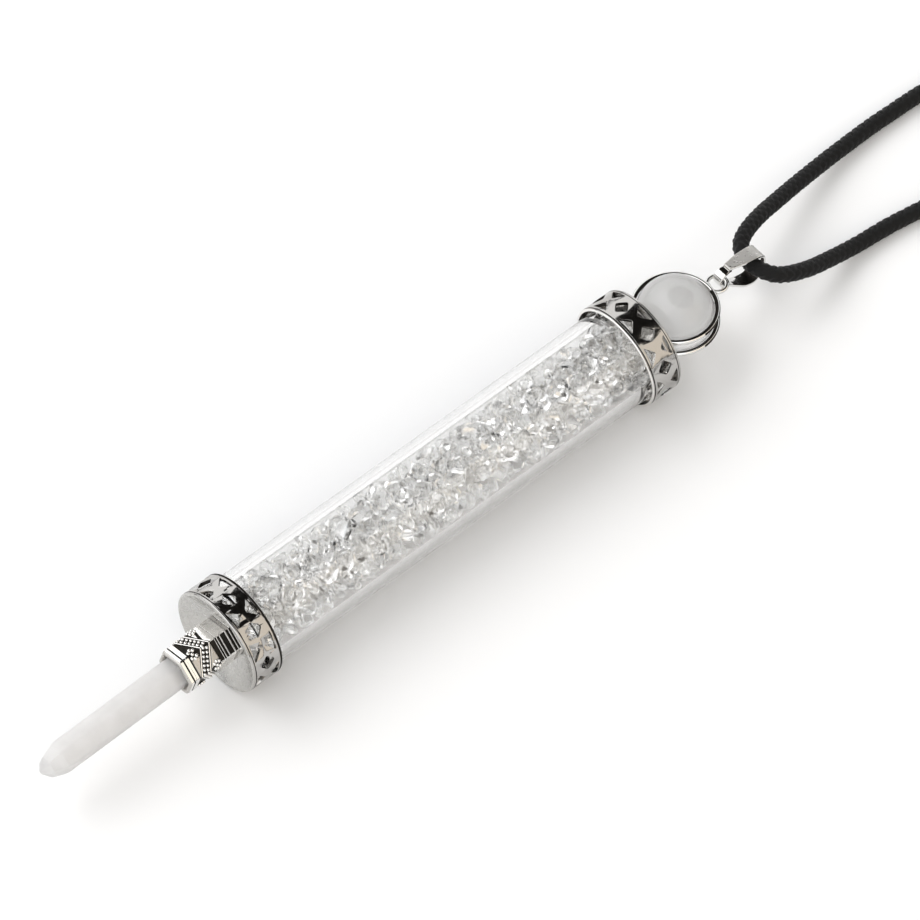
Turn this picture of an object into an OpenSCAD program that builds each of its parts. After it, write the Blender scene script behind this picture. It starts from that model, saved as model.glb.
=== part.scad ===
// A glass vial of quartz chips between two pierced silver caps, lying on its side on a table.
// A quartz point stands in the lower cap, a quartz ball in a ring cage on the upper one,
// and a bent strip hangs the whole from a braided cord.
// +Z is up and Z = 0 is the table. The origin is under the middle of the pendant.

/* [Vial] */
// Outer diameter of the glass tube
tube_d = 15; // [14.6:0.1:15.4]
// Inner diameter of the glass tube
tube_bore = 11.8; // [11.8:0.1:12.6]
// Length over both caps
vial_len = 82.6; // [80:0.1:90]
// Direction that the vial points along the table, in degrees from +X
vial_heading = 41.4; // [0:0.1:90]

/* [Caps] */
// Outer diameter of a cap
cap_d = 17; // [16.8:0.1:17.6]
// Length of a cap
cap_len = 5.5; // [5.4:0.1:7]
// Thickness of a cap's pierced wall
cap_wall = 0.55; // [0.4:0.05:0.6]
// Depth of the dish in a cap's closed end
dish_depth = 2.6; // [2:0.1:2.7]
// Number of times that the pattern of openings repeats round a cap
cap_repeats = 9; // [6:1:9]

/* [Quartz point] */
// Width of the point across its flats
point_w = 4.6; // [4:0.1:5]
// Distance from the lower cap's end plane to the tip
point_reach = 33.1; // [25:0.1:40]
// Angle that the point and its collar droop below the vial's axis
droop = 2; // [0:0.5:3]

/* [Collar] */
// Width of the collar across its flats
collar_w = 6.6; // [6.4:0.1:6.8]
// Distance from the lower cap's end plane to the collar's mouth
collar_reach = 8; // [7.6:0.05:8.4]

/* [Ball and cage] */
// Diameter of the quartz ball
ball_d = 12; // [11:0.1:12]
// Distance from the upper cap's end plane to the ball's centre
ball_reach = 6.3; // [6.3:0.1:6.6]
// Height of the ball and its cage above the vial's axis
cage_lift = 0.4; // [0:0.1:0.8]
// Thickness of the cage's ring wire
ring_wire = 0.76; // [0.6:0.02:0.8]
// Distance between the centres of the two rings
ring_gap = 2.8; // [2.6:0.1:4]

/* [Bail] */
// Thickness of the bail's strip
bail_t = 0.45; // [0.3:0.05:0.5]

/* [Cord] */
// Diameter of the braided cord
cord_d = 2.5; // [1.5:0.1:2.5]
// Diameter of the barrel clasp
clasp_d = 4; // [3.6:0.1:5]
// Length of the barrel clasp
clasp_len = 12; // [12:0.5:12]

/* [Hidden] */
$fn = 64;

// Clearance between pieces that touch on the real object
gap = 0.05;
// Distance along the vial from the lower cap's end plane to the origin
origin_reach = 37;
// The tube starts this far inside each cap
tube_inset = 3.4;

// Thickness of the sheet under a cap's dish, and radius of the dish's flat floor
dish_t = 0.5;
dish_floor_r = 3.9;
// Openings in a cap, as distances from its closed end
end_row = [0.7, 2.15];
middle_row = 2.7;
tube_row = [4.65, 3.25];
triangle_half = 1.62;
diamond_half = 1.35;
corner_cut = 0.3;
// Angle of the first diamond on each cap, from straight up
lower_phase = 0;
upper_phase = -12;

// Collar: its bore, the ridge nearest the top, the point about which it droops, and its relief
collar_bore = 5.9;
collar_bore_depth = collar_reach - 1.74;
ridge_angle = 17.4;
droop_centre = -2;
relief = 0.14;
groove_depth = 0.14;
groove_w = 0.22;
groove_places = [-1.35, -0.5, 0.25, 1.7];
bar_places = [-6.7, -6.2];

// Chips: layers along the tube, each with a ring of stones round a middle one
layers = 27;
ring_count = 6;
layer_pitch = (vial_len - 7.6) / layers;

// Cage, eye and posts
ring_r = 6.3;
ball_x = vial_len + ball_reach;
eye_r = 1.5;
eye_wire = 0.7;
eye_x = ball_x + ring_r + 2;

// Bail: middle of the strip as [along, up] from the centre of the eye, then its half widths
bail_line = [[2.35, 1.82], [1.4, 1.95], [0.6, 1.72], [0.15, 1.2], [0.2, 0.3], [0.6, -0.6],
             [1.6, -1.15], [2.9, -2.25], [5.0, -3.7], [6.7, -3.9], [7.9, -2.6], [8.3, -0.8],
             [7.85, 1.1], [4.8, 1.85], [2.0, 2.35]];
bail_plan = [[-0.6, 0.82], [1.2, 0.82], [2.1, 0.68], [4.5, 1.15], [7.5, 1.3], [8.7, 1.35]];

// Cord: the clasp's place on the table, and the route from one end of it round to the other
clasp_at = [155, -32.5];
clasp_heading = 50;
route = [[167.5, -10, 1.32], [168.2, 8, 1.32], [166.5, 26, 1.32], [162, 43, 1.32],
         [154, 59, 1.32], [142, 73, 1.32], [127, 83, 1.32], [110, 88, 1.32],
         [94, 88.2, 1.32], [79.7, 83.1, 1.32], [70.8, 76.6, 1.32], [63.9, 70, 1.9],
         [58.3, 63.4, 3.5], [54.1, 57.6, 5.5], [51.4, 53.4, 7.2], [49.5, 49.8, 8.25],
         [48.75, 47, 8.6], [49.7, 44.4, 8.55], [51.9, 42.7, 8.3], [54.7, 42.55, 7.5],
         [58.4, 44.95, 5.6], [61.7, 48.2, 3.6], [65.9, 52.2, 1.8], [72.75, 57.4, 1.32],
         [81.5, 62.1, 1.32], [89, 61.4, 1.32], [93.5, 55, 1.32], [93, 30, 1.32],
         [89.5, 3, 1.32], [92.5, -17, 1.32], [102, -34, 1.32], [115, -43.2, 1.32],
         [128, -47, 1.32], [139, -46.3, 1.32]];
steps = 2;
sides = 8;

// Frames and small helpers

// Puts a shape from the vial's own frame, X along its axis from the lower cap, onto the table
module on_table()
    translate([0, 0, cap_d / 2])
        rotate([0, 0, vial_heading])
            translate([-origin_reach, 0, 0])
                children();

// Tilts the collar and the point about the same place on the vial's axis
module drooped()
    translate([droop_centre, 0, 0])
        rotate([0, -droop, 0])
            translate([-droop_centre, 0, 0])
                children();

// Stands a flat shape across the vial's axis from x0 to x1
module across(x0, x1)
    translate([x0, 0, 0])
        rotate([0, 90, 0])
            linear_extrude(height = x1 - x0)
                children();

// Hexagon with its corners cut back to a circle
module round_hexagon(w, corner_r)
    rotate(ridge_angle)
        intersection() {
            circle(r = w / sqrt(3), $fn = 6);
            circle(r = corner_r);
        }

// Quartz point

module crystal_point() {
    rings = [[point_reach, 0.2], [point_reach - 0.3, 0.45], [point_reach - 1.4, 0.74],
             [point_reach - 3.5, 1], [collar_reach - 5.7, 1]];
    n = len(rings);
    color("gainsboro")
        on_table()
            drooped()
                polyhedron(
                    [for (i = [0:n - 1]) for (k = [0:11]) point_corner(i, k, rings[i])],
                    concat(
                        [[for (k = [0:11]) k]],
                        [for (i = [0:n - 2]) for (k = [0:11])
                            [i * 12 + k, (i + 1) * 12 + k,
                             (i + 1) * 12 + (k + 1) % 12, i * 12 + (k + 1) % 12]],
                        [[for (k = [11:-1:0]) (n - 1) * 12 + k]]));
}

// Corner of a ring across the point, from its distance and its share of the full width:
// a hexagon with cut corners, whose shoulders lie at two distances from the tip
function point_corner(i, k, ring) =
    let (r = ring[1] * point_w / 2 / cos(22),
         a = ridge_angle + 60 * floor(k / 2) + (k % 2 == 0 ? 8 : 52),
         step = i == 3 ? 0.45 * cos(60 * floor((k + 1) / 2)) : 0)
    [step - ring[0], -r * sin(a), r * cos(a)];

// Collar

module point_collar() {
    color("silver")
        on_table()
            intersection() {
                translate([-20, -10, -10])
                    cube([20 + dish_depth - gap, 20, 20]);
                drooped()
                    difference() {
                        union() {
                            across(-collar_reach, dish_depth + 1)
                                round_hexagon(collar_w, collar_w / 2 + 0.42);
                            for (i = [0:5])
                                collar_face(ridge_angle + 30 + 60 * i, i % 2 == 0 ? 1 : -1);
                            for (i = [0:2]) {
                                rosette(ridge_angle + 120 * i, -5.1);
                                rosette(ridge_angle + 60 + 120 * i, -2.4);
                            }
                        }
                        across(-collar_reach - 1, -collar_reach + collar_bore_depth)
                            circle(d = collar_bore);
                        for (x = groove_places)
                            across(x - groove_w / 2, x + groove_w / 2)
                                difference() {
                                    circle(r = collar_w);
                                    round_hexagon(collar_w - 2 * groove_depth, collar_w / 2 + 0.28);
                                }
                    }
            }
}

// Relief on one face: two bars, half of the zigzag band and a panel on each side of it
module collar_face(angle, side)
    rotate([angle, 0, 0])
        mirror([0, side > 0 ? 0 : 1, 0])
            translate([0, 0, collar_w / 2 - 0.3])
                linear_extrude(height = 0.3 + relief) {
                    for (x = bar_places)
                        translate([x - 0.12, -1.5])
                            square([0.24, 3]);
                    polygon([[-2.85, 1.75], [-3.7, 1.75], [-5, -1.75], [-4.15, -1.75]]);
                    polygon([[-5.9, 1.1], [-4.4, 1.15], [-5.9, -1.2]]);
                    polygon([[-1.9, 1.2], [-3.7, -1.15], [-1.9, -1.15]]);
                }

// Rosette of four dots on a ridge
module rosette(angle, x)
    rotate([angle, 0, 0])
        for (dx = [-0.3, 0.3], turn = [-5, 5])
            rotate([turn, 0, 0])
                translate([x + dx, 0, collar_w / 2])
                    cylinder(r = 0.24, h = 0.42 + relief);

// Caps

module lower_cap() {
    color("silver")
        on_table()
            pierced_cap(lower_phase);
}

module upper_cap() {
    color("silver")
        on_table()
            translate([vial_len, 0, 0])
                mirror([1, 0, 0])
                    pierced_cap(upper_phase);
}

// Cap with its closed end at X = 0, open toward +X
module pierced_cap(phase)
    difference() {
        rotate([0, 90, 0])
            rotate_extrude()
                cap_profile();
        for (i = [0:cap_repeats - 1]) {
            opening(phase + i * 360 / cap_repeats)
                diamond();
            opening(phase + (i + 0.5) * 360 / cap_repeats)
                triangle(end_row[0], end_row[1]);
            opening(phase + (i + 0.5) * 360 / cap_repeats)
                triangle(tube_row[0], tube_row[1]);
        }
    }

// Half section of a cap: the sheet of the dish, then the round rims and the wall between them
module cap_profile() {
    h = cap_wall / 2;
    r = cap_d / 2 - h;
    polygon(concat(
        [[0, dish_depth + dish_t], [0, dish_depth], [dish_floor_r, dish_depth]],
        [for (t = [240:24:360]) [r + h * cos(t), h + h * sin(t)]],
        [for (t = [0:30:180]) [r + h * cos(t), cap_len - h + h * sin(t)]],
        [[r - h, 0.95], [dish_floor_r + 0.15, dish_depth + dish_t]]));
}

// Cuts a flat shape, X along the cap and Y round it, through the wall at an angle from the top
module opening(angle)
    rotate([angle, 0, 0])
        translate([0, 0, cap_d / 2 - cap_wall - 0.25])
            linear_extrude(height = 2)
                children();

module diamond() {
    h = diamond_half;
    c = corner_cut / 2;
    translate([middle_row, 0])
        polygon([[h - c, c], [c, h - c], [-c, h - c], [c - h, c],
                 [c - h, -c], [-c, c - h], [c, c - h], [h - c, -c]]);
}

module triangle(base, apex) {
    w = triangle_half;
    c = corner_cut;
    s = sign(apex - base);
    polygon([[base, c - w], [base, w - c], [base + s * c, w - c / 2], [apex - s * c / 2, c / 2],
             [apex - s * c / 2, -c / 2], [base + s * c, c / 2 - w]]);
}

// Glass tube and chips

module glass_tube() {
    color([0.85, 0.93, 0.95, 0.35])
        on_table()
            across(tube_inset, vial_len - tube_inset)
                difference() {
                    circle(d = tube_d);
                    circle(d = tube_bore);
                }
}

module quartz_chips() {
    color("whitesmoke")
        on_table()
            for (i = [0:layers - 1])
                translate([3.8 + (i + 0.5) * layer_pitch, 0, 0])
                    chip_layer(i, rands(0, 360, 1, 11 + i)[0]);
}

// Ring of wedge-shaped stones round a middle one
module chip_layer(i, turn) {
    half = layer_pitch / 2;
    for (k = [0:ring_count - 1])
        stone(turn + k * 360 / ring_count, [2.25, 2.8], [4.9, 5.75], [24, 28.2], half, 100 * i + k);
    middle_stone(turn, half, 5000 + i);
}

// Stone whose eight corners wander inside its own cell
module stone(angle, inner, outer, spread, half, seed) {
    a = rands(spread[0], spread[1], 8, seed);
    r0 = rands(inner[0], inner[1], 4, seed + 20000);
    r1 = rands(outer[0], outer[1], 4, seed + 40000);
    x = rands(half - 0.55, half - 0.07, 8, seed + 60000);
    rotate([angle, 0, 0])
        eight_corners([for (n = [0:7])
            let (left = n % 4 == 0 || n % 4 == 3,
                 end = n % 4 < 2 ? -1 : 1,
                 r = n < 4 ? r0[n] : r1[n - 4],
                 t = left ? a[n] : -a[n])
            [end * x[n], r * sin(t), r * cos(t)]]);
}

module middle_stone(angle, half, seed) {
    r = rands(1.2, 1.7, 8, seed);
    x = rands(half - 0.55, half - 0.07, 8, seed + 20000);
    rotate([angle, 0, 0])
        eight_corners([for (n = [0:7])
            let (left = n % 4 == 0 || n % 4 == 3,
                 end = n % 4 < 2 ? -1 : 1,
                 t = (left ? 1 : -1) * (n < 4 ? 140 : 40))
            [end * x[n], r[n] * sin(t), r[n] * cos(t)]]);
}

// Solid on eight points: the four inner ones in a loop, then the four outer ones above them
module eight_corners(p)
    polyhedron(p, [[0, 1, 2], [0, 2, 3], [4, 6, 5], [4, 7, 6], [0, 5, 1], [0, 4, 5],
                   [1, 6, 2], [1, 5, 6], [2, 7, 3], [2, 6, 7], [3, 4, 0], [3, 7, 4]]);

// Ball, cage and bail

module crystal_ball() {
    color("gainsboro")
        on_table()
            translate([ball_x, 0, cage_lift])
                sphere(d = ball_d);
}

module ball_cage() {
    color("silver")
        on_table()
            translate([0, 0, cage_lift]) {
                for (z = [-ring_gap / 2, ring_gap / 2])
                    wire_ring(ball_x, z, ring_r, ring_wire);
                wire_ring(eye_x, 0, eye_r, eye_wire);
                translate([ball_x - ring_r - 0.3, 0, -ring_gap / 2])
                    cylinder(r = 0.5, h = ring_gap);
                translate([ball_x + ring_r + 0.2, 0, -ring_gap / 2])
                    cylinder(r = 0.4, h = ring_gap);
                across(vial_len - dish_depth + gap, ball_x - ring_r - 0.3)
                    circle(r = 0.9);
            }
}

module wire_ring(x, z, r, wire)
    translate([x, 0, z])
        rotate_extrude()
            translate([r, 0])
                circle(d = wire, $fn = 32);

module bail() {
    line = smooth(bail_line, 3);
    color("silver")
        on_table()
            translate([eye_x, 0, cage_lift])
                intersection() {
                    rotate([90, 0, 0])
                        linear_extrude(height = 4, center = true)
                            polygon(concat(beside(line, bail_t / 2), reversed(beside(line, -bail_t / 2))));
                    linear_extrude(height = 12, center = true)
                        polygon(concat(bail_plan, reversed([for (p = bail_plan) [p[0], -p[1]]])));
                }
}

// Cord

module neck_cord() {
    line = smooth(concat([clasp_end(1, 0, 0), clasp_end(1, 4, 0), clasp_end(1, 9, 0.4)], route,
                         [clasp_end(-1, 8.5, 0.2), clasp_end(-1, 4, 0), clasp_end(-1, 0, 0)]), steps);
    n = len(line);
    color("black")
        polyhedron(
            [for (i = [0:n - 1]) for (k = [0:sides - 1]) cord_corner(line, i, k)],
            concat(
                [[for (k = [0:sides - 1]) k]],
                [for (i = [0:n - 2]) for (k = [0:sides - 1])
                    [i * sides + k, (i + 1) * sides + k,
                     (i + 1) * sides + (k + 1) % sides, i * sides + (k + 1) % sides]],
                [[for (k = [sides - 1:-1:0]) (n - 1) * sides + k]]));
}

module cord_clasp() {
    r = clasp_d / 2;
    color("silver")
        translate([clasp_at[0], clasp_at[1], r])
            rotate([0, 0, clasp_heading])
                rotate([0, 90, 0])
                    rotate_extrude()
                        polygon([[0, -clasp_len / 2], [r - 0.5, -clasp_len / 2], [r, 0.5 - clasp_len / 2],
                                 [r, clasp_len / 2 - 0.5], [r - 0.5, clasp_len / 2], [0, clasp_len / 2]]);
}

// Place on the clasp's own line, a distance past one of its ends and below its middle
function clasp_end(way, past, below) =
    let (d = way * (clasp_len / 2 + gap + past))
    [clasp_at[0] + d * cos(clasp_heading), clasp_at[1] + d * sin(clasp_heading), clasp_d / 2 - below];

// Corner of the cord's section: flat below, so that it lies on the table
function cord_corner(line, i, k) =
    let (n = len(line),
         d = line[min(i + 1, n - 1)] - line[max(i - 1, 0)],
         t = d / norm(d),
         s = [t[1], -t[0], 0] / norm([t[0], t[1]]),
         u = cross(s, t),
         r = cord_d / 2 / cos(180 / sides),
         a = (k + 0.5) * 360 / sides)
    line[i] + r * cos(a) * s + r * sin(a) * u;

// Lines

// Smooth line through the points, with a number of steps between neighbours
function smooth(p, steps) = concat(
    [for (i = [0:len(p) - 2]) for (j = [0:steps - 1])
        between(i > 0 ? p[i - 1] : 2 * p[0] - p[1], p[i], p[i + 1],
                i < len(p) - 2 ? p[i + 2] : 2 * p[i + 1] - p[i], j / steps)],
    [p[len(p) - 1]]);

function between(a, b, c, d, t) =
    (2 * b + (c - a) * t + (2 * a - 5 * b + 4 * c - d) * t * t + (3 * b - a - 3 * c + d) * t * t * t) / 2;

// The same flat line moved sideways by a distance
function beside(p, by) = [for (i = [0:len(p) - 1])
    let (d = p[min(i + 1, len(p) - 1)] - p[max(i - 1, 0)])
    p[i] + by * [d[1], -d[0]] / norm(d)];

function reversed(p) = [for (i = [len(p) - 1:-1:0]) p[i]];

crystal_point();
point_collar();
lower_cap();
glass_tube();
quartz_chips();
upper_cap();
crystal_ball();
ball_cage();
bail();
neck_cord();
cord_clasp();
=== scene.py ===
# %% [markdown]
# This lesson dresses a small pendant: a glass vial of clear quartz chips between two
# pierced silver caps, with a quartz point in a cast socket at one end and a quartz ball in
# a wire cage at the other. It hangs on a black braided cord and lies on a white table.
# The measured solids come in first. Each is then replaced by a finished piece of the same
# form, so every piece has a fixed place to go to.

# %% Load the measured solids
import math
import random

import bpy
from mathutils import Matrix, Vector


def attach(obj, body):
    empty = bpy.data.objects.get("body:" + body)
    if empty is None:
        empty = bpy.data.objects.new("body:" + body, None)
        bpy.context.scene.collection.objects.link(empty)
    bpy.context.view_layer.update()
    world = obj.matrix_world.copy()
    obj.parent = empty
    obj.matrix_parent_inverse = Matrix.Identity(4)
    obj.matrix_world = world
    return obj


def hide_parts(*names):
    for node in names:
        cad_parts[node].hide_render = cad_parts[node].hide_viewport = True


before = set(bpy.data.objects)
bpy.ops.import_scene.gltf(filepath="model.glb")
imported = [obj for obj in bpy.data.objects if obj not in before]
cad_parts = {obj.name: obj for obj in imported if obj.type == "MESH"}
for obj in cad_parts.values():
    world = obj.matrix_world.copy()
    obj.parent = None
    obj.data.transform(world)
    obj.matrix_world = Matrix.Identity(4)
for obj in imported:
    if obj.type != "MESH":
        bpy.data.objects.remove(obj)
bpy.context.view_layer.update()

# %% [markdown]
# Small things are awkward in metres, because Blender's tools merge and bevel by fixed
# distances. So each piece is modelled in millimetres, one unit to a millimetre, in the
# vial's own frame: X runs along the vial from the end of the lower cap, Z is up. One
# matrix then shrinks it and lays it on the table, and the result is applied to the mesh.

# %% Sizes and the way onto the table
MM = 0.001
VIAL_LEN = 82.6          # over both caps
CAP_D = 17.0
CAP_LEN = 5.5
CAP_WALL = 0.55
DISH_DEPTH = 2.6
TUBE_D = 15.0
TUBE_BORE = 11.8
TUBE_INSET = 3.4
RIDGE_ANGLE = 17.4       # the collar's ridge nearest the top
heading = math.radians(41.4)
on_table = (Matrix.Scale(MM, 4) @ Matrix.Translation((0, 0, CAP_D / 2))
            @ Matrix.Rotation(heading, 4, "Z") @ Matrix.Translation((-37, 0, 0)))
drooped = (Matrix.Translation((-2, 0, 0)) @ Matrix.Rotation(math.radians(-2), 4, "Y")
           @ Matrix.Translation((2, 0, 0)))
print("vial heading", math.degrees(heading), "degrees")

# %% [markdown]
# An operator acts on everything that is selected, and the loaded solids still are. These
# helpers keep one piece selected at a time, turn it, and settle it in its final place.

# %% Helpers for working with one piece
def deselect():
    bpy.ops.object.select_all(action="DESELECT")


def only(piece):
    """Selects this piece alone and makes it active."""
    deselect()
    piece.select_set(True)
    bpy.context.view_layer.objects.active = piece
    return piece


def new_piece(name):
    """Names the primitive that was just added."""
    piece = bpy.context.object
    piece.name = piece.data.name = name
    return piece


def apply_place(piece, place):
    """Moves a piece by a matrix and applies it to the mesh."""
    only(piece)
    piece.matrix_world = place @ piece.matrix_world
    bpy.ops.object.transform_apply(location=True, rotation=True, scale=True)
    return piece


def add_modifier(piece, kind, **settings):
    """Adds a modifier and applies it at once."""
    only(piece)
    modifier = piece.modifiers.new(kind.title(), kind)
    for key, value in settings.items():
        setattr(modifier, key, value)
    bpy.ops.object.modifier_apply(modifier=modifier.name)
    return piece


def joined(name, parts):
    """Joins several meshes into one piece."""
    deselect()
    for part in parts:
        part.select_set(True)
    bpy.context.view_layer.objects.active = parts[0]
    if len(parts) > 1:
        bpy.ops.object.join()
    return new_piece(name)


def copy_of(piece, place):
    """A copy with its own mesh, moved by a matrix."""
    twin = bpy.data.objects.new(piece.name, piece.data.copy())
    bpy.context.scene.collection.objects.link(twin)
    twin.data.transform(place)
    return twin


def outward(piece):
    """Merges doubles and turns every face outwards."""
    only(piece)
    bpy.ops.object.mode_set(mode="EDIT")
    bpy.ops.mesh.select_all(action="SELECT")
    bpy.ops.mesh.remove_doubles(threshold=0.0005)
    bpy.ops.mesh.normals_make_consistent(inside=False)
    bpy.ops.object.mode_set(mode="OBJECT")
    return piece


# %% [markdown]
# Most of the silver is turned work, so one helper plays the lathe. It starts from a
# circle round the X axis and extrudes its edge from station to station. A station is a
# place along the axis and a radius. A hexagon is turned in the same way, with its corners
# bevelled first.

# %% The lathe
def ring_of(sides, radius, x, corner=0.0, turn=0.0):
    """Starts a piece as an open ring round the X axis and leaves it in edit mode."""
    deselect()
    bpy.ops.mesh.primitive_circle_add(vertices=sides, radius=radius, fill_type="NOTHING")
    piece = bpy.context.object
    stand = (Matrix.Translation((x, 0, 0)) @ Matrix.Rotation(turn, 4, "X")
             @ Matrix.Rotation(math.pi / 2, 4, "Y"))
    apply_place(piece, stand)
    bpy.ops.object.mode_set(mode="EDIT")
    bpy.ops.mesh.select_mode(type="VERT")
    bpy.ops.mesh.select_all(action="SELECT")
    if corner:
        bpy.ops.mesh.bevel(offset=corner, offset_type="OFFSET", segments=3, affect="VERTICES")
        bpy.ops.mesh.select_all(action="SELECT")
    return piece


def turned(name, stations, sides=96, closed=False, corner=0.0, turn=0.0):
    """Turns a piece through (x, radius) stations. A closed one ends where it began."""
    x, radius = stations[0]
    ring_of(sides, radius, x, corner, turn)
    for next_x, next_radius in stations[1:]:
        bpy.ops.mesh.extrude_edges_move(TRANSFORM_OT_translate={"value": (next_x - x, 0, 0)})
        k = next_radius / radius
        bpy.ops.transform.resize(value=(1, k, k), center_override=(next_x, 0, 0))
        x, radius = next_x, next_radius
    if not closed:
        bpy.ops.mesh.edge_face_add()
        bpy.ops.mesh.select_all(action="DESELECT")
        bpy.ops.mesh.select_non_manifold()
        bpy.ops.mesh.edge_face_add()
    bpy.ops.object.mode_set(mode="OBJECT")
    return outward(new_piece(name))


def rim(x, radius, r, start, end, steps=4):
    """Stations round a small rounded rim, from one angle to another."""
    angles = [math.radians(start + (end - start) * i / steps) for i in range(steps + 1)]
    return [(x + r * math.sin(a), radius + r * math.cos(a)) for a in angles]


# %% [markdown]
# Every finish is a node material on one Principled shader. Noise in object coordinates
# breaks up the roughness and lifts the surface a little, because a cast or tumbled
# surface is never quite even. The helper wires the two noises that most finishes share.

# %% Finishes
def finish_of(name, color, roughness, metallic=0.0, transmission=0.0, ior=1.5):
    """Starts a Principled material and returns it with its nodes, links and shader."""
    material = bpy.data.materials.new(name)
    material.use_nodes = True
    nodes, links = material.node_tree.nodes, material.node_tree.links
    shader = nodes["Principled BSDF"]
    shader.inputs["Base Color"].default_value = (*color, 1)
    shader.inputs["Roughness"].default_value = roughness
    shader.inputs["Metallic"].default_value = metallic
    shader.inputs["Transmission Weight"].default_value = transmission
    shader.inputs["IOR"].default_value = ior
    return material, nodes, links, shader


def object_noise(nodes, links, per_mm, detail=3.0, stretch=(1, 1, 1)):
    """A noise texture whose grain is given per millimetre."""
    place = nodes.new("ShaderNodeTexCoord")
    mapping = nodes.new("ShaderNodeMapping")
    mapping.inputs["Scale"].default_value = [s * per_mm / MM for s in stretch]
    noise = nodes.new("ShaderNodeTexNoise")
    noise.inputs["Scale"].default_value = 1.0
    noise.inputs["Detail"].default_value = detail
    links.new(place.outputs["Object"], mapping.inputs["Vector"])
    links.new(mapping.outputs["Vector"], noise.inputs["Vector"])
    return noise


def ranged(nodes, links, source, low, high, start=0.3, end=0.7):
    """Maps a noise onto a range."""
    node = nodes.new("ShaderNodeMapRange")
    for socket, value in (("From Min", start), ("From Max", end), ("To Min", low), ("To Max", high)):
        node.inputs[socket].default_value = value
    links.new(source, node.inputs["Value"])
    return node.outputs["Result"]


def bumped(nodes, links, shader, height, strength, depth_mm):
    """Lifts the surface by a height."""
    bump = nodes.new("ShaderNodeBump")
    bump.inputs["Strength"].default_value = strength
    bump.inputs["Distance"].default_value = depth_mm * MM
    links.new(height, bump.inputs["Height"])
    links.new(bump.outputs["Normal"], shader.inputs["Normal"])


def mixed(nodes, links, factor, first, second):
    """Mixes two colours by a factor."""
    mix = nodes.new("ShaderNodeMix")
    mix.data_type = "RGBA"
    mix.inputs["A"].default_value = (*first, 1)
    mix.inputs["B"].default_value = (*second, 1)
    links.new(factor, mix.inputs["Factor"])
    return mix.outputs["Result"]


# %% [markdown]
# The camera stands where the photographer's did: far away with a long lens, looking down
# at 54 degrees. It comes first, together with the cord, because the part of the cord that
# the view doesn't reach has to fit in the room that is left for it.

# %% Camera
CAMERA_ELEVATION = math.radians(54.0)
CAMERA_DISTANCE = 1.889
aim = Vector((7.42, 8.49, 8.0)) * MM
back = Vector((0, -math.cos(CAMERA_ELEVATION), math.sin(CAMERA_ELEVATION)))
camera = bpy.data.objects.new("camera", bpy.data.cameras.new("camera"))
bpy.context.scene.collection.objects.link(camera)
camera.location = aim + back * CAMERA_DISTANCE
camera.rotation_euler = (math.pi / 2 - CAMERA_ELEVATION, 0, 0)
camera.data.sensor_width = 36
camera.data.lens = 36 * 12978 / 920
camera.data.clip_start = 0.05
bpy.context.scene.camera = camera
print("lens", round(camera.data.lens), "mm at", CAMERA_DISTANCE, "m")

# %% [markdown]
# The cord is a round braid of eight strands, four turning each way and passing over and
# under in turn. It leaves the clasp, comes round to the bail, passes through it and goes
# back to the clasp. Its route is a smooth line through a few places, and its skin is a
# tube whose radius follows the strands: a cosine ridge for each family, lifted where
# that family lies on top.

# %% The cord's route
CORD_D = 2.5
CLASP_AT = (155, -32.5)
CLASP_HEADING = math.radians(50)
CLASP_LEN = 12
CLASP_D = 4.0


def clasp_end(way, past, below):
    """A place on the clasp's own line, a distance past one end and below its middle."""
    d = way * (CLASP_LEN / 2 + 0.05 + past)
    return (CLASP_AT[0] + d * math.cos(CLASP_HEADING), CLASP_AT[1] + d * math.sin(CLASP_HEADING),
            CLASP_D / 2 - below)


LOW = 1.32               # height of the cord's middle where it lies on the table
route = [clasp_end(1, 0, 0), clasp_end(1, 4, 0), clasp_end(1, 9, 0.4),
         (167.5, -10, LOW), (168.2, 8, LOW), (166.5, 26, LOW), (162, 43, LOW), (154, 59, LOW),
         (142, 73, LOW), (127, 83, LOW), (110, 88, LOW), (94, 88.2, LOW), (79.7, 83.1, LOW),
         (70.8, 76.6, LOW), (63.9, 70, 1.9), (58.3, 63.4, 3.5), (54.1, 57.6, 5.5), (51.4, 53.4, 7.2),
         (49.5, 49.8, 8.25), (48.75, 47, 8.6), (49.7, 44.4, 8.55), (51.9, 42.7, 8.3), (54.7, 42.55, 7.5),
         (58.4, 44.95, 5.6), (61.7, 48.2, 3.6), (65.9, 52.2, 1.8), (72.75, 57.4, LOW), (81.5, 62.1, LOW),
         (89, 61.4, LOW), (93.5, 55, LOW), (93, 30, LOW), (89.5, 3, LOW),
         (92.5, -17, LOW), (102, -34, LOW), (115, -43.2, LOW), (128, -47, LOW), (139, -46.3, LOW),
         clasp_end(-1, 8.5, 0.2), clasp_end(-1, 4, 0), clasp_end(-1, 0, 0)]


def smooth(points, steps):
    """A smooth line through the points."""
    p = [Vector(q) for q in points]
    p = [2 * p[0] - p[1]] + p + [2 * p[-1] - p[-2]]
    line = []
    for a, b, c, d in zip(p, p[1:], p[2:], p[3:]):
        for j in range(steps):
            t = j / steps
            line.append((2 * b + (c - a) * t + (2 * a - 5 * b + 4 * c - d) * t * t
                         + (3 * b - a - 3 * c + d) * t ** 3) / 2)
    return line + [p[-2]]


def evenly(line, gap):
    """The same line with its points a fixed distance apart, and its length."""
    spans = [(b - a).length for a, b in zip(line, line[1:])]
    total = sum(spans)
    count = round(total / gap)
    even, i, walked = [], 0, 0.0
    for k in range(count + 1):
        target = total * k / count
        while i < len(spans) - 1 and walked + spans[i] < target:
            walked += spans[i]
            i += 1
        even.append(line[i].lerp(line[i + 1], min(1, (target - walked) / spans[i])))
    return even, total


cord_line, cord_len = evenly(smooth(route, 24), 0.28)
print("cord length", round(cord_len, 1), "mm in", len(cord_line), "rings")

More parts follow.
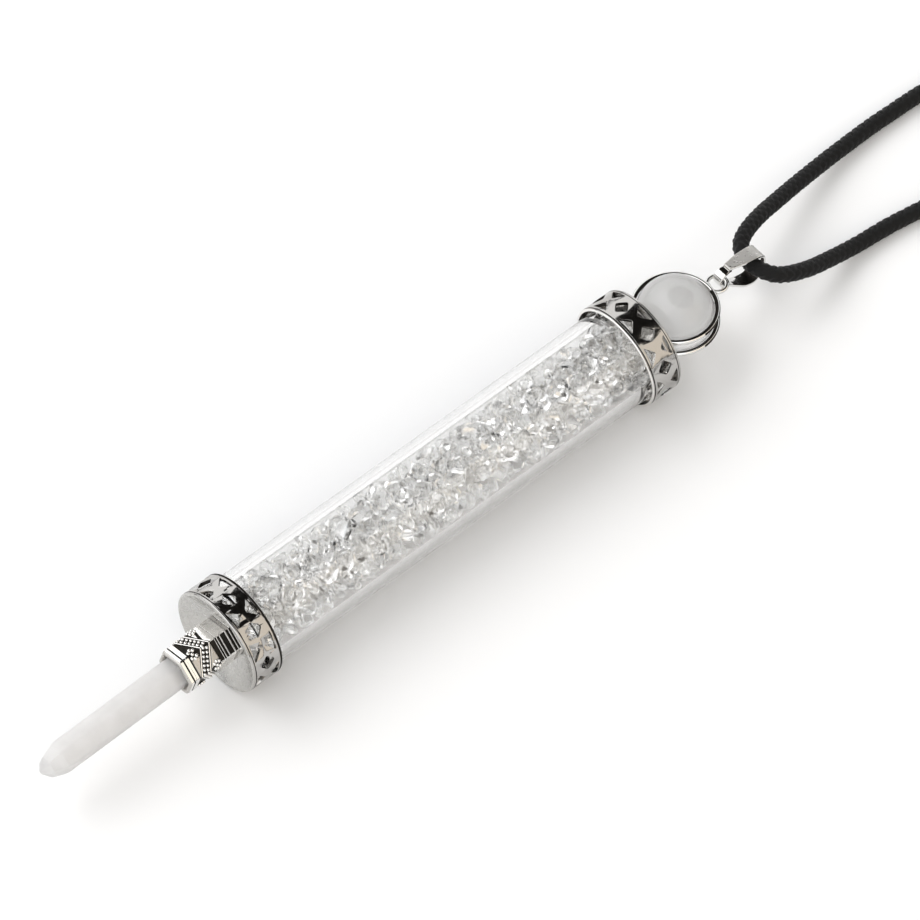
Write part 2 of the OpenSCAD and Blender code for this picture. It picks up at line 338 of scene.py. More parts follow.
# %% The braid
BRAID_TURN = 5.0         # a strand goes once round in this length
VALLEY, RIDGE = 0.79, 0.25   # radius of a valley and height of a strand, as shares of the cord's radius
SIDES = 28


def braid_height(turn, along):
    """Height of the braid from 0 in a valley to 1 on a strand that lies on top."""
    a = 4 * turn - 4 * along / BRAID_TURN
    b = 4 * turn + 4 * along / BRAID_TURN
    top = math.cos(math.pi * (round(a) + round(b)))
    ridge_a = math.cos(math.pi * (a - round(a)))
    ridge_b = math.cos(math.pi * (b - round(b)))
    return max(ridge_a * (0.75 + 0.25 * top), ridge_b * (0.75 - 0.25 * top))


corners, uvs = [], []
for i, point in enumerate(cord_line):
    way = (cord_line[min(i + 1, len(cord_line) - 1)] - cord_line[max(i - 1, 0)]).normalized()
    side = Vector((way.y, -way.x, 0)).normalized()
    lift = side.cross(way)
    along = cord_len * i / (len(cord_line) - 1)
    for k in range(SIDES):
        turn = k / SIDES
        angle = turn * math.tau
        r = CORD_D / 2 * (VALLEY + RIDGE * braid_height(turn, along))
        corners.append(MM * (point + r * (side * math.cos(angle) + lift * math.sin(angle))))
        uvs.append((turn, along))
faces = []
last_ring = (len(cord_line) - 1) * SIDES
for ring in range(0, last_ring, SIDES):
    for k in range(SIDES):
        after = (k + 1) % SIDES
        faces.append((ring + k, ring + after, ring + SIDES + after, ring + SIDES + k))
faces += [tuple(range(SIDES))[::-1], tuple(last_ring + k for k in range(SIDES))]
cord_mesh = bpy.data.meshes.new("braided_cord")
cord_mesh.from_pydata(corners, [], faces)
braid_map = cord_mesh.uv_layers.new(name="braid")
for face in cord_mesh.polygons:
    # The last face of a turn comes back to the first corner, which counts as 1 there and not as 0.
    closes = len(face.vertices) == 4 and any(corner % SIDES == SIDES - 1 for corner in face.vertices)
    for loop, corner in zip(face.loop_indices, face.vertices):
        u, v = uvs[corner]
        braid_map.data[loop].uv = (1.0 if closes and corner % SIDES == 0 else u, v / BRAID_TURN)
cord = bpy.data.objects.new("braided_cord", cord_mesh)
bpy.context.scene.collection.objects.link(cord)
only(cord)
bpy.ops.object.mode_set(mode="EDIT")
bpy.ops.mesh.select_all(action="SELECT")
bpy.ops.mesh.normals_make_consistent(inside=False)
bpy.ops.object.mode_set(mode="OBJECT")
bpy.ops.object.shade_smooth()
print("braid has", len(cord_mesh.polygons), "faces")

# %% [markdown]
# The cord is black waxed thread: nearly matt, with a soft sheen along each strand. Fine
# lines along the strands come from a wave on the braid's own map.

# %% Cord finish
black_braid, nodes, links, shader = finish_of("black_braid", (0.005, 0.005, 0.005), 0.5)
shader.inputs["Sheen Weight"].default_value = 0.04
shader.inputs["Sheen Roughness"].default_value = 0.4
shader.inputs["Specular IOR Level"].default_value = 0.2
fuzz = object_noise(nodes, links, 9.0)
links.new(ranged(nodes, links, fuzz.outputs["Fac"], 0.36, 0.62), shader.inputs["Roughness"])
braid_uv = nodes.new("ShaderNodeUVMap")
braid_uv.uv_map = "braid"
stretch = nodes.new("ShaderNodeMapping")
stretch.inputs["Scale"].default_value = (26, 9, 1)
threads = nodes.new("ShaderNodeTexWave")
threads.bands_direction = "DIAGONAL"
threads.inputs["Scale"].default_value = 1.0
threads.inputs["Distortion"].default_value = 3.0
links.new(braid_uv.outputs["UV"], stretch.inputs["Vector"])
links.new(stretch.outputs["Vector"], threads.inputs["Vector"])
bumped(nodes, links, shader, threads.outputs["Fac"], 0.5, 0.06)
links.new(mixed(nodes, links, fuzz.outputs["Fac"], (0.003, 0.003, 0.003), (0.008, 0.008, 0.008)),
          shader.inputs["Base Color"])
cord.data.materials.append(black_braid)

# %% Clasp
BARREL = CLASP_LEN / 2
clasp = turned("barrel_clasp", [(-BARREL, 1.45), (-BARREL, 1.62), *rim(-BARREL + 0.3, 1.7, 0.3, -90, 0),
                                (-1.2, CLASP_D / 2), (-1.0, 1.86), (1.0, 1.86), (1.2, CLASP_D / 2),
                                *rim(BARREL - 0.3, 1.7, 0.3, 0, 90), (BARREL, 1.45)], sides=48)
apply_place(clasp, Matrix.Scale(MM, 4) @ Matrix.Translation((*CLASP_AT, CLASP_D / 2))
            @ Matrix.Rotation(CLASP_HEADING, 4, "Z"))
bpy.ops.object.shade_smooth_by_angle(angle=math.radians(35))
print("clasp reaches", [round(x, 4) for x in clasp.dimensions])

# %% [markdown]
# The silver is cast metal, polished on top. Its inner corners are darkened by an ambient
# occlusion node that looks only a fraction of a millimetre away: painted shade, which also
# stands for tarnish there. The deep recesses are oxidised all over, so they get a dark finish
# of their own, which also serves as painted shade and painted dark reflection on the caps,
# cage and bail. The flat panels that were left satin get a finish of their own too.

# %% Silver finishes
def silver_finish(name, color, roughness, waviness, patina_and_corner_shade=0.0, wave_per_mm=0.9):
    """A silver with a wavy surface. A share for the corners below 1 darkens them to that share of the
    colour: painted shade, which also stands for tarnish there.
    """
    material, nodes, links, shader = finish_of(name, color, roughness, metallic=1.0)
    grain = object_noise(nodes, links, 1.6)
    links.new(ranged(nodes, links, grain.outputs["Fac"], roughness * 0.7, roughness * 1.5),
              shader.inputs["Roughness"])
    wave = object_noise(nodes, links, wave_per_mm)
    bumped(nodes, links, shader, wave.outputs["Fac"], waviness, 0.12)
    # Painted shade: an ambient occlusion node darkens the base colour in the inner corners, standing also
    # for tarnish there.
    if patina_and_corner_shade:
        corner = nodes.new("ShaderNodeAmbientOcclusion")
        corner.inputs["Distance"].default_value = 0.3 * MM
        corner.samples = 8
        dark = ranged(nodes, links, corner.outputs["AO"], 0.0, 1.0, 0.3, 0.75)
        links.new(mixed(nodes, links, dark, tuple(c * patina_and_corner_shade for c in color), color),
                  shader.inputs["Base Color"])
    return material


cast_silver = silver_finish("cast_silver", (0.46, 0.449, 0.434), 0.12, 0.4, patina_and_corner_shade=0.15)
bright_silver = silver_finish("bright_silver", (0.9, 0.885, 0.86), 0.12, 0.25, patina_and_corner_shade=0.1)
satin_silver = silver_finish("satin_silver", (0.54, 0.522, 0.495), 0.3, 0.5, wave_per_mm=5.0)
dish_silver = silver_finish("dish_silver", (0.56, 0.55, 0.53), 0.25, 0.5, patina_and_corner_shade=0.3, wave_per_mm=0.5)
wire_silver = silver_finish("wire_silver", (0.76, 0.755, 0.74), 0.06, 0.12)
# A dark oxide for the collar's ground, also used as painted shade and painted dark reflection on the
# caps, cage and bail.
oxide_and_shade = silver_finish("oxide_and_shade_silver", (0.03, 0.027, 0.024), 0.45, 0.6, wave_per_mm=4.0)
clasp.data.materials.append(wire_silver)


def paint(piece, index, chosen):
    """Gives the faces that a rule picks another of the piece's finishes."""
    faces = [face for face in piece.data.polygons if chosen(face.center, face.normal)]
    for face in faces:
        face.material_index = index
    print(piece.name, "has", len(faces), "faces with finish", index)


# %% [markdown]
# Both caps are the same casting: a short ring with a dished end, pierced by a row of
# diamonds between two rows of triangles. The ring is turned, the openings are cut by
# prisms with the Boolean modifier, and a Bevel modifier then rounds every cut edge,
# because the metal flowed and was tumbled before it was plated.

# %% Cutters for one cap
def prism(name, outline, place):
    """A prism over a flat outline in X and Y, standing in Z."""
    deselect()
    bpy.ops.mesh.primitive_circle_add(vertices=len(outline), radius=1, fill_type="NGON")
    piece = new_piece(name)
    for corner, (x, y) in zip(piece.data.vertices, outline):
        corner.co = (x, y, 0)
    bpy.ops.object.mode_set(mode="EDIT")
    bpy.ops.mesh.select_all(action="SELECT")
    bpy.ops.mesh.bevel(offset=0.36, segments=4, affect="VERTICES")
    bpy.ops.mesh.select_all(action="SELECT")
    bpy.ops.mesh.extrude_region_move(TRANSFORM_OT_translate={"value": (0, 0, 2.2)})
    bpy.ops.object.mode_set(mode="OBJECT")
    outward(piece)
    return apply_place(piece, place)


CUT_FROM = CAP_D / 2 - CAP_WALL - 0.25
base_place = Matrix.Translation((0, 0, CUT_FROM))
diamond = prism("diamond", [(4.05, 0), (2.7, 1.4), (1.35, 0), (2.7, -1.4)], base_place)
end_triangle = prism("end_triangle", [(0.72, -1.7), (0.72, 1.7), (2.25, 0)], base_place)
tube_triangle = prism("tube_triangle", [(4.68, -1.7), (3.15, 0), (4.68, 1.7)], base_place)


REPEATS = 9              # of the pattern of openings round a cap
STEP = 360 / REPEATS


def cutters(first_angle):
    """All the prisms for one cap: nine diamonds, and two triangles between each two of them."""
    cuts = []
    for i in range(REPEATS):
        at = Matrix.Rotation(math.radians(first_angle + STEP * i), 4, "X")
        between = Matrix.Rotation(math.radians(first_angle + STEP * i + STEP / 2), 4, "X")
        cuts += [copy_of(diamond, at), copy_of(end_triangle, between), copy_of(tube_triangle, between)]
    return joined("cutters", cuts)


# %% The two caps
CAP_R = CAP_D / 2
WALL_R = CAP_R - CAP_WALL / 2
HALF = CAP_WALL / 2
# The grooves that are painted dark as shade.
SHADE_GROOVES = ((0.28, 0.54), (4.98, 5.3))   # from and to, along the cap


def around(spot, normal):
    """How far a face of the skin points outwards, and how far round the axis."""
    radius = math.hypot(spot.y, spot.z)
    outwards = (normal.y * spot.y + normal.z * spot.z) / radius
    return outwards, (normal.z * spot.y - normal.y * spot.z) / radius


def painted_shade_wall(spot, normal, side):
    """True on the faces painted dark as shade: the cut walls on one side, the grooves and the mouth at
    the tube.
    """
    outwards, sideways = around(spot, normal)
    radius = math.hypot(spot.y, spot.z)
    cut = 0.6 < spot.x < CAP_LEN - 0.6 and radius > CAP_R - CAP_WALL and abs(outwards) < 0.5
    groove = (outwards > 0.3 and CAP_R - 0.2 < radius < CAP_R - 0.02
              and any(start < spot.x < end for start, end in SHADE_GROOVES))
    mouth = spot.x > CAP_LEN - 0.6 and outwards < -0.4
    return cut and sideways * side > 0.15 or groove or mouth


def painted_light_inside(spot, normal):
    """True on the inside of the wall and the back of the dish, which show through the glass and get a
    brighter silver as painted light.
    """
    return around(spot, normal)[0] < -0.4 or spot.x > DISH_DEPTH - 0.2 and normal.x > 0.4


def dish_face(spot, normal):
    """True on the dished end and its rim, as far as they face away from the tube."""
    on_end = spot.x < DISH_DEPTH + 0.1 and math.hypot(spot.y, spot.z) < CAP_R - 0.15
    return on_end and normal.x < -0.3


def pierced_cap(name, first_angle, place, side):
    """One cap with its closed end at X = 0. The side is the one whose cut walls get painted shade."""
    stations = [(DISH_DEPTH, 0.4), (DISH_DEPTH, 3.7), (DISH_DEPTH - 0.12, 4.05),
                (0.55, 7.45), *rim(HALF, WALL_R, HALF, 215, 450, 7),
                (0.31, CAP_R - 0.08), (0.49, CAP_R - 0.08), (0.53, CAP_R), (0.6, CAP_R),
                (CAP_LEN / 2, CAP_R), (4.9, CAP_R), (4.98, CAP_R), (5.02, CAP_R - 0.07),
                (5.2, CAP_R - 0.07), *rim(CAP_LEN - HALF, WALL_R, HALF, 0, 180, 6),
                (CAP_LEN / 2, CAP_R - CAP_WALL), (1.0, CAP_R - CAP_WALL),
                (DISH_DEPTH + 0.5, 3.9), (DISH_DEPTH + 0.5, 0.4)]
    cap = turned(name, stations, sides=108)
    tool = cutters(first_angle)
    add_modifier(cap, "BOOLEAN", object=tool, operation="DIFFERENCE", solver="EXACT")
    bpy.data.objects.remove(tool)
    add_modifier(cap, "BEVEL", width=0.2, segments=3, limit_method="ANGLE",
                 angle_limit=math.radians(50), harden_normals=False)
    only(cap)
    bpy.ops.object.shade_smooth_by_angle(angle=math.radians(50))
    for finish in (cast_silver, oxide_and_shade, bright_silver, dish_silver):
        cap.data.materials.append(finish)
    # Painted light: the insides get the bright silver, lighter than the cast, because little light
    # reaches in.
    paint(cap, 2, painted_light_inside)
    # Painted shade: the dark finish goes on the cut walls of one side, in the grooves and in the mouth by
    # the tube.
    paint(cap, 1, lambda spot, normal: painted_shade_wall(spot, normal, side))
    paint(cap, 3, dish_face)
    return apply_place(cap, place)


lower_cap = pierced_cap("lower_silver_cap", 0, on_table, 1)
far_end = Matrix.Translation((VIAL_LEN, 0, 0)) @ Matrix.Rotation(math.pi, 4, "Z")
upper_cap = pierced_cap("upper_silver_cap", 12, on_table @ far_end, -1)
for tool in (diamond, end_triangle, tube_triangle):
    bpy.data.objects.remove(tool)
print("cap faces", len(lower_cap.data.polygons), len(upper_cap.data.polygons))

# %% [markdown]
# The tube is plain clear glass with a thick wall and fire-polished ends. Its wall has to
# be real: light that strikes it near the edge is reflected inside, and that gives the
# clear band along each side of the chips.

# %% Glass tube
outer, inner = TUBE_D / 2, TUBE_BORE / 2
middle, wall = (outer + inner) / 2, (outer - inner) / 2
first, last = TUBE_INSET + 0.5, VIAL_LEN - TUBE_INSET - 0.5
steps_along = [first + 0.25 + (last - first - 0.5) * k / 12 for k in range(13)]
tube_stations = [(first, outer), *[(x, outer) for x in steps_along], (last, outer),
                 *[(last + 0.5 * math.sin(a), middle + wall * math.cos(a))
                   for a in (math.pi * k / 6 for k in range(1, 6))],
                 (last, inner), *[(x, inner) for x in reversed(steps_along)], (first, inner),
                 *[(first - 0.5 * math.sin(a), middle - wall * math.cos(a))
                   for a in (math.pi * k / 6 for k in range(1, 6))], (first, outer)]
tube = turned("clear_tube", tube_stations, sides=144, closed=True)
apply_place(tube, on_table)
bpy.ops.object.shade_smooth()
tube_glass, nodes, links, shader = finish_of("tube_glass", (0.9, 0.9, 0.898), 0.0,
                                             transmission=1.0, ior=1.47)
drawn = object_noise(nodes, links, 0.05)
bumped(nodes, links, shader, drawn.outputs["Fac"], 0.15, 0.2)
tube.data.materials.append(tube_glass)

# %% [markdown]
# The chips are tumbled clear quartz: rounded, glassy and all different. Eight pebbles are
# modelled from an icosphere that is roughened and cut flat by six planes. Hundreds of
# copies are turned, stretched and dropped into the bore, the large ones first. Each one
# keeps its distance from those already placed.

# %% Eight pebbles
random.seed(7)
pebbles = []
for n in range(8):
    deselect()
    bpy.ops.mesh.primitive_ico_sphere_add(subdivisions=2, radius=1)
    bpy.ops.object.mode_set(mode="EDIT")
    bpy.ops.transform.vertex_random(offset=0.07, seed=n + 1)
    for _ in range(6):
        normal = Vector([random.gauss(0, 1) for _ in range(3)]).normalized()
        bpy.ops.mesh.select_all(action="SELECT")
        bpy.ops.mesh.bisect(plane_co=normal * random.uniform(0.45, 0.8), plane_no=normal,
                            use_fill=True, clear_outer=True)
    bpy.ops.object.mode_set(mode="OBJECT")
    pebble = outward(new_piece("pebble"))
    reach = max(v.co.length for v in pebble.data.vertices)
    pebble.data.transform(Matrix.Scale(1 / reach, 4))
    bpy.ops.object.shade_smooth_by_angle(angle=math.radians(55))
    pebbles.append(pebble)
print("a pebble has", len(pebbles[0].data.polygons), "faces")

# %% Chips in the tube
CHIP_REACH = TUBE_BORE / 2 - 0.06
CLEAR = 0.66             # least distance between two chips, as a share of their sizes together
placed = []
for size, tries in ((2.5, 900), (2.0, 3000), (1.6, 6000), (1.2, 9000)):
    for _ in range(tries):
        r = size * random.uniform(0.85, 1.05)
        x = random.uniform(3.7 + r * 0.7, VIAL_LEN - 3.7 - r * 0.7)
        out = (CHIP_REACH - r * 0.55) * math.sqrt(random.random())
        turn = random.uniform(0, math.tau)
        at = Vector((x, out * math.cos(turn), out * math.sin(turn)))
        if all((at - other).length > CLEAR * (r + q) for other, q in placed):
            placed.append((at, r))
chips = []
for at, r in placed:
    pebble = random.choice(pebbles)
    squash = Matrix.Diagonal((random.uniform(0.85, 1.2) * r, random.uniform(0.75, 1.05) * r,
                              random.uniform(0.6, 0.9) * r, 1))
    axis = Vector((random.uniform(-1, 1), random.uniform(-1, 1), random.uniform(-1, 1))).normalized()
    spin = Matrix.Rotation(random.uniform(0, math.tau), 4, axis)
    chip = copy_of(pebble, Matrix.Translation(at) @ spin @ squash)
    for v in chip.data.vertices:
        radial = math.hypot(v.co.y, v.co.z)
        if radial > CHIP_REACH:
            v.co.y *= CHIP_REACH / radial
            v.co.z *= CHIP_REACH / radial
    chips.append(chip)
for pebble in pebbles:
    bpy.data.objects.remove(pebble)
chips = joined("quartz_pebbles", chips)
apply_place(chips, on_table)
print(len(placed), "chips,", len(chips.data.polygons), "faces")

# %% [markdown]
# Real quartz bends light with an index of 1.54. Here light goes through many chips in a
# row, and at that index too much of it stays caught between them and the pile turns grey,
# so the chips have a lower one. The point is frosted and milky, with soft veils across it.

# %% Quartz finishes
chip_quartz, nodes, links, shader = finish_of("chip_quartz", (1.0, 1.0, 0.996), 0.0,
                                              transmission=1.0, ior=1.38)
facets = object_noise(nodes, links, 1.1, detail=4.0)
bumped(nodes, links, shader, facets.outputs["Fac"], 0.2, 0.25)
chips.data.materials.append(chip_quartz)

point_quartz, nodes, links, shader = finish_of("point_quartz", (0.76, 0.75, 0.745), 0.4,
                                               transmission=0.5, ior=1.3)
veils = object_noise(nodes, links, 0.3, detail=6.0)
links.new(mixed(nodes, links, ranged(nodes, links, veils.outputs["Fac"], 0, 1),
                (0.72, 0.71, 0.703), (0.8, 0.79, 0.785)), shader.inputs["Base Color"])
shader.inputs["Subsurface Weight"].default_value = 1.0
shader.inputs["Subsurface Radius"].default_value = (1, 1, 1)
shader.inputs["Subsurface Scale"].default_value = 6 * MM
frost = object_noise(nodes, links, 1.5, detail=6.0)
bumped(nodes, links, shader, frost.outputs["Fac"], 0.25, 0.06)

# %% [markdown]
# The point is a six-sided quartz crystal with worn edges. A hexagon with bevelled corners
# is extruded to length, and its tip is cut by planes, as a lapidary grinds the facets:
# six steep ones at uneven heights and flatter ones over them.

# %% Quartz point
POINT_TIP, POINT_ROOT = -33.1, -2.3
SHOULDERS = (3.4, 4.1, 3.2, 3.8, 4.2, 3.3)   # where each steep facet starts, behind the tip
point = ring_of(6, 2.66, POINT_ROOT, corner=0.42, turn=math.radians(RIDGE_ANGLE + 90))
bpy.ops.mesh.edge_face_add()
bpy.ops.mesh.extrude_region_move(TRANSFORM_OT_translate={"value": (POINT_TIP - POINT_ROOT, 0, 0)})
for i, shoulder in enumerate(SHOULDERS):
    angle = math.radians(RIDGE_ANGLE + 30 + 60 * i)
    outwards = Vector((0, -math.sin(angle), math.cos(angle)))
    for radius, behind, tilt in ((2.3, shoulder, 17), (1.62, 1.25, 47)):
        tilt = math.radians(tilt)
        normal = outwards * math.cos(tilt) - Vector((math.sin(tilt), 0, 0))
        bpy.ops.mesh.select_all(action="SELECT")
        bpy.ops.mesh.bisect(plane_co=outwards * radius + Vector((POINT_TIP + behind, 0, 0)),
                            plane_no=normal, use_fill=True, clear_outer=True)
bpy.ops.object.mode_set(mode="OBJECT")
point = outward(new_piece("quartz_point"))
add_modifier(point, "BEVEL", width=0.3, segments=4, limit_method="ANGLE", angle_limit=math.radians(12))
only(point)
bpy.ops.object.shade_smooth_by_angle(angle=math.radians(40))
apply_place(point, on_table @ drooped)
point.data.materials.append(point_quartz)
print("point", [round(x, 4) for x in point.dimensions])

# %% [markdown]
# The ball is milky clear quartz. It was ground by hand, so it isn't quite round: a cube is
# subdivided, cast into a sphere, and then pushed in and out by a few hundredths of a
# millimetre with a soft noise, which breaks up the reflections as on the real stone. Its
# colour has milky clouds and is painted lighter towards its lower half, as painted light.

# %% Quartz ball
BALL_X, BALL_R, LIFT = 88.9, 6.0, 0.4
deselect()
bpy.ops.mesh.primitive_cube_add(size=2 * BALL_R)
ball = new_piece("quartz_ball")
add_modifier(ball, "SUBSURF", subdivision_type="SIMPLE", levels=5)
add_modifier(ball, "CAST", cast_type="SPHERE", factor=1.0, size=BALL_R, use_radius_as_size=False)
grinding = bpy.data.textures.new("grinding", "CLOUDS")
grinding.noise_scale = 3.0
add_modifier(ball, "DISPLACE", texture=grinding, strength=0.05, mid_level=0.7, texture_coords="LOCAL")
ball.data.transform(Matrix.Translation((BALL_X, 0, LIFT)))
apply_place(ball, on_table)
bpy.ops.object.shade_smooth()
ball_quartz, nodes, links, shader = finish_of("ball_quartz", (0.9, 0.9, 0.9), 0.2,
                                              transmission=0.72, ior=1.5)
clouds = object_noise(nodes, links, 0.12, detail=5.0)
milky = mixed(nodes, links, clouds.outputs["Fac"], (0.54, 0.54, 0.535), (0.64, 0.64, 0.635))
spot_at = nodes.new("ShaderNodeTexCoord")
spot_height = nodes.new("ShaderNodeSeparateXYZ")
links.new(spot_at.outputs["Object"], spot_height.inputs["Vector"])
# Painted light: the colour turns nearly white below the ball's middle.
lighter_below = mixed(nodes, links, ranged(nodes, links, spot_height.outputs["Z"], 0, 1, 0.0072, 0.0112),
                    (0.97, 0.97, 0.965), (1, 1, 1))
links.new(milky, lighter_below.node.inputs["B"])
links.new(lighter_below, shader.inputs["Base Color"])
ball.data.materials.append(ball_quartz)
print("ball", [round(x, 5) for x in ball.dimensions])

# %% [markdown]
# The collar is one casting: a hexagonal socket with a rounded lip, a bar behind it, a
# beaded zigzag round the middle with smooth panels in its corners, and rings next to the
# cap. The ground between all these is oxidised black. So the body is turned on the lathe
# with that ground sunk in, and the ornament is set on it as raised plates and beads. One
# face's ornament is modelled flat and copied round, mirrored on every other face so that
# the zigzag closes.

# %% Collar body
MOUTH, BACK = -7.88, 2.5
FLAT = 3.3               # from the axis to the middle of a face
BORE_FLAT, BORE_DEPTH = 2.62, 6.26
LIP = 0.62
START = 0.5              # radius of the first station, where the corners are bevelled
CORNER = 0.04            # bevel there; it grows with the hexagon
LIP_GROOVE = (-7.09, -6.84)
GROUND = 0.17            # depth of the black ground
GROUND_FROM, GROUND_TO = -6.08, 2.12
HALF_FACE = 1.86
S = 2 / math.sqrt(3)     # from the middle of a face to a corner


def sunk(x0, x1, depth, slope=0.05):
    """Stations down into a recess and out of it again."""
    floor = (FLAT - depth) * S
    return [(x0, FLAT * S), (x0 + slope, floor), (x1 - slope, floor), (x1, FLAT * S)]


lip_middle, lip_half = (BORE_FLAT + FLAT) / 2, (FLAT - BORE_FLAT) / 2
lip = [(MOUTH + LIP * (1 - math.sin(t)), (lip_middle - lip_half * math.cos(t)) * S)
       for t in (math.pi * k / 16 for k in range(17))]
collar_stations = [(MOUTH + BORE_DEPTH, START), (MOUTH + BORE_DEPTH, BORE_FLAT * S), *lip,
                   *sunk(*LIP_GROOVE, 0.14), *sunk(-6.55, -6.46, 0.04, 0.03),
                   *sunk(GROUND_FROM, GROUND_TO, GROUND), (BACK, FLAT * S), (BACK, START)]
collar = turned("collar_body", collar_stations, sides=6, corner=CORNER,
                turn=math.radians(RIDGE_ANGLE + 90))
add_modifier(collar, "BEVEL", width=0.04, segments=2, limit_method="ANGLE",
             angle_limit=math.radians(35))
for finish in (bright_silver, oxide_and_shade, satin_silver):
    collar.data.materials.append(finish)
paint(collar, 2, lambda spot, normal: spot.x < MOUTH + 0.6 * LIP)
paint(collar, 1, lambda spot, normal: math.hypot(spot.y, spot.z) > FLAT - 0.25
      and (GROUND_FROM < spot.x < GROUND_TO or LIP_GROOVE[0] < spot.x < LIP_GROOVE[1]))
bpy.ops.object.shade_smooth_by_angle(angle=math.radians(15))


# %% Collar ornament
def plate(outline, height, edge, finish):
    """A raised plate on a face, with its X along the vial and its Y across the face."""
    deselect()
    bpy.ops.mesh.primitive_circle_add(vertices=len(outline), radius=1, fill_type="NGON")
    piece = new_piece("plate")
    for corner, (x, y) in zip(piece.data.vertices, outline):
        corner.co = (x, y, FLAT - 0.25)
    bpy.ops.object.mode_set(mode="EDIT")
    bpy.ops.mesh.select_all(action="SELECT")
    bpy.ops.mesh.extrude_region_move(TRANSFORM_OT_translate={"value": (0, 0, 0.25 + height)})
    bpy.ops.object.mode_set(mode="OBJECT")
    outward(piece)
    piece.data.materials.append(finish)
    return add_modifier(piece, "BEVEL", width=edge, segments=2, limit_method="ANGLE",
                        angle_limit=math.radians(40))


def bead(x, y, radius, out, turn=0.0):
    """A bead at a height over the axis. It may be turned round the axis."""
    deselect()
    bpy.ops.mesh.primitive_ico_sphere_add(subdivisions=2, radius=radius, location=(x, y, out))
    piece = new_piece("bead")
    piece.data.materials.append(bright_silver)
    bpy.ops.object.shade_smooth()
    return apply_place(piece, Matrix.Rotation(turn, 4, "X"))


def strip(x0, x1, lean=0.0, height=0.03, finish=bright_silver):
    """A narrow plate right across a face. It may lean along the zigzag."""
    off = lean * HALF_FACE
    return plate([(x0 + off, HALF_FACE), (x1 + off, HALF_FACE), (x1 - off, -HALF_FACE),
                  (x0 - off, -HALF_FACE)], height, 0.04, finish)


BAND_X, BAND_LEAN = -3.88, 0.52   # middle of the zigzag's band, and its slope


def zigzag():
    """Half of one zig: two thin borders with two rows of beads between them."""
    parts = [strip(BAND_X + off - 0.1, BAND_X + off + 0.1, BAND_LEAN) for off in (-0.8, 0.8)]
    for row, shift in ((-0.33, 0), (0.33, 0.28)):
        for k in range(7):
            y = -1.75 + 0.57 * k + shift
            if abs(y) < HALF_FACE:
                parts.append(bead(BAND_X + row + BAND_LEAN * y, y, 0.27, FLAT - 0.09))
    return parts


# Half of the faces have two satin triangles and thin bars, given by their middle and width.
panelled = zigzag()
for triangle in ([(-5.84, 1.0), (-5.84, -1.65), (-5.72, -1.7), (-4.4, 1.0)],
                 [(-2.06, 1.55), (-1.98, -0.95), (-2.7, -1.3), (-3.72, -1.7)]):
    panelled.append(plate(triangle, 0.02, 0.08, satin_silver))
for x, width in ((-1.2, 0.1), (-0.8, 0.14), (-0.25, 0.2), (0.78, 0.24), (1.4, 0.14), (1.93, 0.22)):
    panelled.append(strip(x - width / 2, x + width / 2))

# The others have broad bright plates instead.
plain = zigzag()
plain.append(plate([(-1.9, HALF_FACE), (-1.03, HALF_FACE), (-1.03, -HALF_FACE), (-1.95, -HALF_FACE),
                    (-2.4, 0.85)], 0.03, 0.04, bright_silver))
plain.append(plate([(-3.15, -0.95), (-2.5, -1.0), (-2.78, 0.2)], 0.02, 0.06, bright_silver))
plain += [strip(-0.98, 0.9), strip(1.56, 2.08), strip(1.0, 1.5, height=0.0, finish=satin_silver)]
panelled, plain = joined("panelled", panelled), joined("plain", plain)
plain.data.transform(Matrix.Scale(-1, 4, (0, 1, 0)))

# A rosette of seven beads sits on each ridge, given by place along it and degrees round it.
ROSETTE = ((0.42, 7.5), (0.42, -7.5), (-0.42, 7.5), (-0.42, -7.5), (0, 0), (0, 12), (0, -12))
rosette = joined("rosette", [bead(x, 0, 0.3, FLAT * S - 0.33, math.radians(turn)) for x, turn in ROSETTE])
ornament = []
for i in range(6):
    ridge = math.radians(RIDGE_ANGLE + 60 * i)
    half_way = Matrix.Rotation(ridge + math.radians(30), 4, "X")
    ornament.append(copy_of(plain if i % 2 else panelled, half_way))
    if i % 2:
        outward(ornament[-1])    # the mirrored face came out inside out
    at = Matrix.Translation((-2.6 if i % 2 else -5.2, 0, 0))
    ornament.append(copy_of(rosette, Matrix.Rotation(ridge, 4, "X") @ at))
for model in (panelled, plain, rosette):
    bpy.data.objects.remove(model)
collar = joined("point_collar_cast", [collar] + ornament)
apply_place(collar, on_table @ drooped)
print("collar faces", len(collar.data.polygons), "finishes", len(collar.data.materials))

# %% [markdown]
# The cage is round wire: two rings a little larger than the ball, one above and one
# below its middle, joined by a short post at each side. A stem goes into the upper cap
# and an eye is soldered to the far post. Small flattened beads stand for the solder.

# %% Ball cage
def wire_ring(x, z, radius, wire, count=96):
    """A ring of round wire that lies flat."""
    deselect()
    bpy.ops.mesh.primitive_torus_add(location=(x, 0, z), major_radius=radius, minor_radius=wire / 2,
                                     major_segments=count, minor_segments=14)
    return new_piece("ring")


def solder(x, z, size):
    """A flattened bead of solder."""
    deselect()
    bpy.ops.mesh.primitive_uv_sphere_add(segments=20, ring_count=12, radius=1,
                                         location=(x, 0, z), scale=size)
    return apply_place(new_piece("solder"), Matrix.Identity(4))


